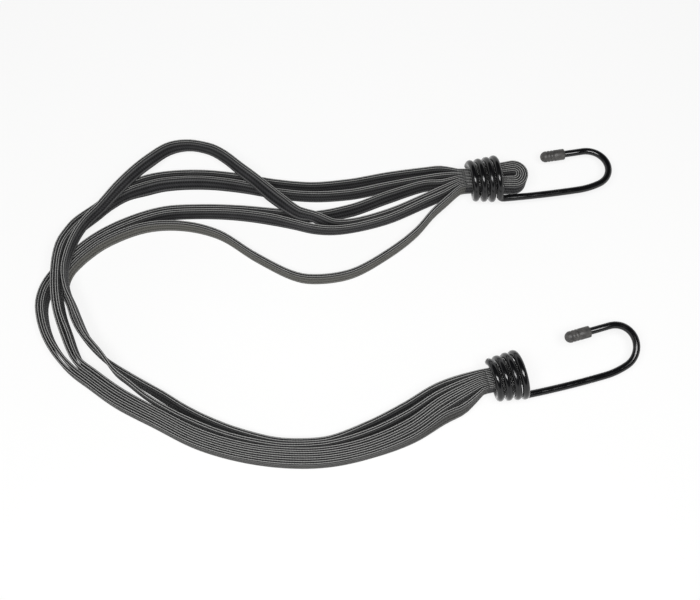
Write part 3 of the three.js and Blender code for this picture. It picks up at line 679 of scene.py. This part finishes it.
def even_curve(stops, step):
    """Points at even steps along a centripetal Catmull-Rom curve through stops of x, y, z and lean."""
    places = [Vector(s[:3]) for s in stops]
    places = [2 * places[0] - places[1], *places, 2 * places[-1] - places[-2]]
    dense = []
    for i in range(len(stops) - 1):
        a, b, c, d = places[i : i + 4]
        before, here, after = ((q - p).length ** 0.5 for p, q in ((a, b), (b, c), (c, d)))
        leave = here * ((b - a) / before - (c - a) / (before + here) + (c - b) / here)
        arrive = here * ((c - b) / here - (d - b) / (here + after) + (d - c) / after)
        for k in range(CURVE_SAMPLES):
            t = k / CURVE_SAMPLES
            spot = (2 * t**3 - 3 * t**2 + 1) * b + (t**3 - 2 * t**2 + t) * leave
            spot += (3 * t**2 - 2 * t**3) * c + (t**3 - t**2) * arrive
            dense.append((spot, stops[i][3] + t * (stops[i + 1][3] - stops[i][3])))
    dense.append((places[-2], stops[-1][3]))
    reached = [0.0]
    for (p, _), (q, _) in zip(dense, dense[1:]):
        reached.append(reached[-1] + (q - p).length)
    count = math.ceil(reached[-1] / step)
    even, j = [], 0
    for i in range(count + 1):
        at = reached[-1] * i / count
        while j < len(dense) - 2 and reached[j + 1] < at:
            j += 1
        t = (at - reached[j]) / (reached[j + 1] - reached[j])
        even.append((dense[j][0].lerp(dense[j + 1][0], t), dense[j][1] + t * (dense[j + 1][1] - dense[j][1])))
    return even, reached[-1] / count


def strand_stops(name, tape):
    """The stops of a strand's lower edge, from the upper coil's mouth to the lower one's."""
    ends = {}
    for end in ENDS:
        y = stack_offset(tape, STACK_ORDER[end].index(name))
        reach = (tape.mouth_lead, tape.mouth_lead + tape.mouth_straight)
        spots = [hook_frame(end) @ Vector((-x, y, 0)) for x in reach]
        ends[end] = [(p.x, p.y, p.z - tape.width / 2, 0) for p in spots]
    middle = []
    for x, y, lift, *lean in ROUTES[name]:
        middle.append((x - FOOTPRINT_MIDDLE[0], y - FOOTPRINT_MIDDLE[1], lift, math.radians(sum(lean))))
    return [*ends["upper"], *middle, *reversed(ends["lower"])]


def strand_rings(name, tape, hook):
    """A strand's rings of points, their middles, and the step between them."""
    even, step = even_curve(strand_stops(name, tape), tape.ring_step)
    upper, lower = (hook_frame(end) for end in ENDS)
    rings, middles = [], []
    for i, (foot, lean) in enumerate(even):
        free = min(1, min(i, len(even) - 1 - i) * step / tape.mouth_ease)
        thickness = tape.gripped + free * (tape.thickness - tape.gripped)
        tangent = (even[min(i + 1, len(even) - 1)][0] - even[max(i - 1, 0)][0]).normalized()
        inward = Vector((0, 0, 1)).cross(tangent).normalized()
        upright = tangent.cross(inward)
        across = math.cos(lean) * upright + math.sin(lean) * inward
        thick = math.cos(lean) * inward - math.sin(lean) * upright
        rise = (tape.width * math.cos(lean) + thickness * abs(math.sin(lean))) / 2
        middle = Vector((foot.x, foot.y, max(0, foot.z) + rise))
        ring = [middle + s * thick + w * across for s, w, _ in tape_section(tape, thickness)]
        held = upper if i < len(even) / 2 else lower
        if (held.inverted() @ middle).x > -MOUTH_REACH:
            ring = [held @ squeezed(held.inverted() @ p, tape, hook) for p in ring]
        rings.append(ring)
        middles.append(middle)
    return rings, middles, step


def loop_rings(tape, hook, nest, reach):
    """The rings of a nested end loop in its hook's frame: a leg in, a half-round bend and a leg out."""
    throat = stack_offset(tape, len(NESTS) - 1 - nest)
    thickness = tape.thickness if reach > coil_length(hook) else tape.gripped
    bend = (tape.loop_eye + thickness) / 2 + nest * (thickness + tape.gap)
    leg = []
    for i in range(LEG_RINGS):
        x = -tape.mouth_lead + (reach + tape.mouth_lead) * i / LEG_RINGS
        free = min(max(x / reach, 0), 1)
        leg.append((x, throat + (bend - throat) * free, 0, tape.gripped + free * (thickness - tape.gripped)))
    turns = [math.pi * i / (BEND_RINGS - 1) for i in range(BEND_RINGS)]
    line = leg + [(reach + bend * math.sin(a), bend * math.cos(a), a, thickness) for a in turns]
    line += [(x, -y, math.pi, swollen) for x, y, _, swollen in reversed(leg)]
    rings, along = [], [0.0]
    for i, (x, y, a, swollen) in enumerate(line):
        outward = Vector((math.sin(a), math.cos(a), 0))
        middle = Vector((x, y, 0))
        ring = [middle + s * outward + Vector((0, 0, w)) for s, w, _ in tape_section(tape, swollen)]
        rings.append([squeezed(p, tape, hook) for p in ring])
        if i:
            along.append(along[-1] + math.dist((x, y), line[i - 1][:2]))
    return rings, along


def wire_line(hook):
    """The wire's middle in its hook's frame, from the coil's free end to the tip, and its last heading."""
    line = []
    count = round(hook.turns * COIL_RINGS_PER_TURN)
    long = coil_length(hook)
    for i in range(count + 1):
        turn = 2 * math.pi * hook.turns * i / count
        radius = hook.small_radius + (hook.large_radius - hook.small_radius) * i / count
        x = long * i / count - hook.closing * max(0, 1 - (count - i) / COIL_RINGS_PER_TURN)
        line.append(Vector((x, radius * math.cos(turn), radius * math.sin(turn))))
    for i in range(1, ELBOW_RINGS + 1):
        turn = math.pi / 2 * i / ELBOW_RINGS
        x = long - hook.closing + hook.elbow_radius * (1 - math.cos(turn))
        line.append(Vector((x, -hook.large_radius, -hook.elbow_radius * math.sin(turn))))
    heading = 0.0
    for radius, bend, steps in (
        (hook.shank / hook.shank_bend, hook.shank_bend, SHANK_RINGS),
        (hook.ease_radius, hook.ease_angle, EASE_RINGS),
        (hook.bow_radius, hook.bow_angle, BOW_RINGS),
    ):
        for _ in range(steps):
            heading += bend / steps / 2
            stride = 2 * radius * math.sin(bend / steps / 2)
            line.append(line[-1] + stride * level(heading))
            heading += bend / steps / 2
    line.append(line[-1] + hook.tip * level(heading))
    return line, heading


def wire_rings(hook):
    """The wire's rings, carried along its line without twisting, with a chamfer on the coil's cut end."""
    line, _ = wire_line(hook)
    last = len(line) - 1
    radius = hook.diameter / 2
    rings, tangent, normal = [], None, None
    for i, p in enumerate(line):
        ahead = (line[min(i + 1, last)] - line[max(i - 1, 0)]).normalized()
        normal = tangent.rotation_difference(ahead) @ normal if tangent else ahead.orthogonal().normalized()
        tangent = ahead
        side = normal.cross(tangent)
        spokes = [math.cos(a) * normal + math.sin(a) * side for a in round_steps(WIRE_SIDES)]
        if not i:
            rings.append([p + (radius - hook.chamfer) * s for s in spokes])
            p = p + hook.chamfer * tangent
        rings.append([p + radius * s for s in spokes])
    return rings


def cap_rings(cap, hook):
    """A tip cap's rings about +Y, from its dome to the inside of its mouth."""
    radius = cap.diameter / 2
    bore = hook.diameter / 2
    profile = []
    for i in range(1, DOME_RINGS + 1):
        turn = math.pi / 2 * i / DOME_RINGS
        profile.append((radius * math.sin(turn), radius * (1 - math.cos(turn))))
    for i in range(cap.rings):
        y = radius + (i + 0.5) * cap.ring_pitch
        quarter = cap.ring_pitch / 4
        profile += [(radius, y - quarter), (radius - cap.ring_depth, y), (radius, y + quarter)]
    # One more on the plain part keeps its shading even.
    profile.append((radius, (cap.depth + radius) / 2 + cap.ring_pitch))
    for i in range(LIP_RINGS + 1):
        turn = math.pi * i / LIP_RINGS
        y = cap.depth - cap.lip + cap.lip * math.sin(turn)
        profile.append((radius - cap.lip * (1 - math.cos(turn)), y))
    profile.append((bore, cap.depth - 2 * cap.lip))
    profile.append((bore, cap.depth - BORE_DEPTH * cap.lip))
    turns = round_steps(CAP_SIDES)
    return [[Vector((r * math.cos(a), y, r * math.sin(a))) for a in turns] for r, y in profile]


def plainly_seen(tree):
    """A node that gives 1 to rays from the camera, off gloss and through glass, and 0 to those that light."""
    ray = add_node(tree, "ShaderNodeLightPath")
    seen = add_node(
        tree,
        "ShaderNodeMath",
        {0: ray.outputs["Is Camera Ray"], 1: ray.outputs["Is Glossy Ray"]},
        operation="ADD",
    )
    return add_node(
        tree,
        "ShaderNodeMath",
        {0: seen.outputs[0], 1: ray.outputs["Is Transmission Ray"]},
        operation="ADD",
        use_clamp=True,
    )


def white_paper(stage):
    """Matt white studio paper. It looks white and keeps a soft part of the shadow."""
    material = new_material("white_paper")
    tree = material.node_tree
    seen = plainly_seen(tree)
    share = add_node(tree, "ShaderNodeMath", {0: seen.outputs[0], 1: PAPER_GLOW}, operation="MULTIPLY")
    paper = add_node(tree, "ShaderNodeBsdfDiffuse", {"Color": (*stage.floor, 1)})
    glow = add_node(tree, "ShaderNodeEmission", {"Color": (1, 1, 1, 1), "Strength": 1.0})
    both = add_node(
        tree, "ShaderNodeMixShader", {0: share.outputs[0], 1: paper.outputs[0], 2: glow.outputs[0]}
    )
    add_node(tree, "ShaderNodeOutputMaterial", {"Surface": both.outputs[0]})
    return material


def white_room(stage):
    """White walls, which are the backdrop of low views, and a dark ceiling, which keeps the gloss black."""
    world = bpy.data.worlds.new("white_room")
    world.use_nodes = True
    tree = world.node_tree
    tree.nodes.clear()
    way = add_node(tree, "ShaderNodeTexCoord")
    rise = add_node(tree, "ShaderNodeSeparateXYZ", {0: way.outputs["Generated"]})
    room = add_node(
        tree,
        "ShaderNodeMapRange",
        {
            "Value": rise.outputs["Z"],
            "From Min": math.sin(stage.wall_top),
            "From Max": math.sin(stage.ceiling_rim),
            "To Min": stage.walls,
            "To Max": stage.ceiling,
        },
        interpolation_type="SMOOTHSTEP",
    )
    sky = add_node(tree, "ShaderNodeBackground", {"Color": (1, 1, 1, 1), "Strength": room.outputs["Result"]})
    add_node(tree, "ShaderNodeOutputWorld", {"Surface": sky.outputs["Background"]})
    return world


class BUNGEE_OT_stage(bpy.types.Operator):
    """Set the camera, the white table and the light"""

    bl_idname = "bungee.stage"
    bl_label = "Stage"

    def execute(self, context):
        scene = context.scene
        stage = scene.bungee_stage
        scene.view_settings.view_transform = "Standard"

        view = bpy.data.cameras.new("camera")
        view.lens = stage.lens
        view.sensor_fit = "HORIZONTAL"
        camera = bpy.data.objects.new("camera", view)
        camera.location = stage.camera
        camera.rotation_euler = facing(stage.camera, stage.target)
        scene.collection.objects.link(camera)
        scene.camera = camera

        half = stage.floor_size / 2
        corners = [(x * half, y * half, -PAPER_DROP) for x, y in ((-1, -1), (1, -1), (1, 1), (-1, 1))]
        mesh = bpy.data.meshes.new("table")
        mesh.from_pydata(corners, [], [(0, 1, 2, 3)])
        mesh.materials.append(white_paper(stage))
        floor = bpy.data.objects.new("table", mesh)
        scene.collection.objects.link(floor)

        box = bpy.data.lights.new("soft_box", "AREA")
        box.shape = "RECTANGLE"
        box.size = stage.lamp_length
        box.size_y = stage.lamp_depth
        box.energy = stage.lamp_power
        lamp = bpy.data.objects.new("soft_box", box)
        lamp.location = stage.lamp
        lamp.rotation_euler = facing(stage.lamp, stage.target)
        scene.collection.objects.link(lamp)

        scene.world = white_room(stage)
        return {"FINISHED"}


class BUNGEE_OT_strands(bpy.types.Operator):
    """Weave the six free strands, each in two halves that meet at the left bend"""

    bl_idname = "bungee.strands"
    bl_label = "Strands"

    def execute(self, context):
        tape, hook = context.scene.bungee_tape, context.scene.bungee_hook
        across = tape_across(tape)
        for name in ROUTES:
            rings, middles, step = strand_rings(name, tape, hook)
            bend = min(range(len(middles)), key=lambda i: middles[i].x)
            along = [i * step for i in range(len(rings))]
            for end, part in (("upper", slice(0, bend + 1)), ("lower", slice(bend, None))):
                closed = (end == "upper", end == "lower")
                # Two halves get painted bounce light from the table on one face.
                piece = loft(
                    f"{name}_{end}",
                    rings[part],
                    woven_elastic_tape(tape),
                    closed,
                    (along[part], across),
                    tape_marks(tape, BOUNCE_LIT.get((name, end), NO_BOUNCE)),
                )
                # The stretch ends just outside the coil.
                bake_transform(piece)
                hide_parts(name)
        return {"FINISHED"}


class BUNGEE_OT_loops(bpy.types.Operator):
    """Fold the three nested end loops of each coil"""

    bl_idname = "bungee.loops"
    bl_label = "End loops"

    def execute(self, context):
        tape, hook = context.scene.bungee_tape, context.scene.bungee_hook
        across, marks = tape_across(tape), tape_marks(tape)
        for end, reach in zip(ENDS, (tape.upper_reach, tape.lower_reach)):
            for nest, word in enumerate(NESTS):
                rings, along = loop_rings(tape, hook, nest, reach)
                node = f"{end}_loop_{word}"
                cloth = woven_elastic_tape(tape)
                piece = loft(f"{node}_tape", rings, cloth, weave=(along, across), marks=marks)
                piece.data.transform(hook_frame(end))
                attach(piece, f"{end}_loops")
                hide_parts(node)
        return {"FINISHED"}


class BUNGEE_OT_hooks(bpy.types.Operator):
    """Bend the wire of both hooks"""

    bl_idname = "bungee.hooks"
    bl_label = "Hooks"

    def execute(self, context):
        hook = context.scene.bungee_hook
        for end in ENDS:
            piece = loft(f"{end}_hook_wire", wire_rings(hook), coated_steel_wire(hook))
            piece.data.transform(rolled_frame(end, hook))
            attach(piece, f"{end}_hook")
            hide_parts(f"{end}_hook")
        return {"FINISHED"}


class BUNGEE_OT_tip_caps(bpy.types.Operator):
    """Push the soft caps on the hooks' tips"""

    bl_idname = "bungee.tip_caps"
    bl_label = "Tip caps"

    def execute(self, context):
        hook, cap = context.scene.bungee_hook, context.scene.bungee_cap
        line, heading = wire_line(hook)
        dome = line[-1] + cap.end_gap * level(heading)
        on_wire = Matrix.Translation(dome) @ Matrix.Rotation(heading + math.pi / 2, 4, "Z")
        for end in ENDS:
            piece = loft(f"{end}_tip_cap_sleeve", cap_rings(cap, hook), dipped_pvc_cap(cap), (True, False))
            piece.data.transform(rolled_frame(end, hook) @ on_wire)
            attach(piece, f"{end}_hook")
            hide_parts(f"{end}_tip_cap")
        return {"FINISHED"}


SETTINGS = {
    "bungee_stage": StageSettings,
    "bungee_tape": TapeSettings,
    "bungee_hook": HookSettings,
    "bungee_cap": CapSettings,
}
OPERATORS = (BUNGEE_OT_stage, BUNGEE_OT_strands, BUNGEE_OT_loops, BUNGEE_OT_hooks, BUNGEE_OT_tip_caps)


class BUNGEE_PT_sidebar(bpy.types.Panel):
    """Lists the bungee cord's settings and its steps"""

    bl_idname = "BUNGEE_PT_sidebar"
    bl_label = "Flat bungee cord"
    bl_space_type = "VIEW_3D"
    bl_region_type = "UI"
    bl_category = "Bungee"

    def draw(self, context):
        for step in OPERATORS:
            self.layout.operator(step.bl_idname)
        for name, kind in SETTINGS.items():
            box = self.layout.box()
            for setting in kind.__annotations__:
                box.prop(getattr(context.scene, name), setting)


def register():
    """Add the classes and each scene's settings."""
    for kind in (*SETTINGS.values(), *OPERATORS, BUNGEE_PT_sidebar):
        bpy.utils.register_class(kind)
    for name, kind in SETTINGS.items():
        setattr(bpy.types.Scene, name, PointerProperty(type=kind))


def unregister():
    """Take them away again."""
    for name in SETTINGS:
        delattr(bpy.types.Scene, name)
    for kind in (BUNGEE_PT_sidebar, *OPERATORS, *SETTINGS.values()):
        bpy.utils.unregister_class(kind)


def main():
    """Build the whole scene."""
    register()
    bpy.ops.bungee.stage()
    bpy.ops.bungee.strands()
    bpy.ops.bungee.loops()
    bpy.ops.bungee.hooks()
    bpy.ops.bungee.tip_caps()


if __name__ == "__main__":
    main()
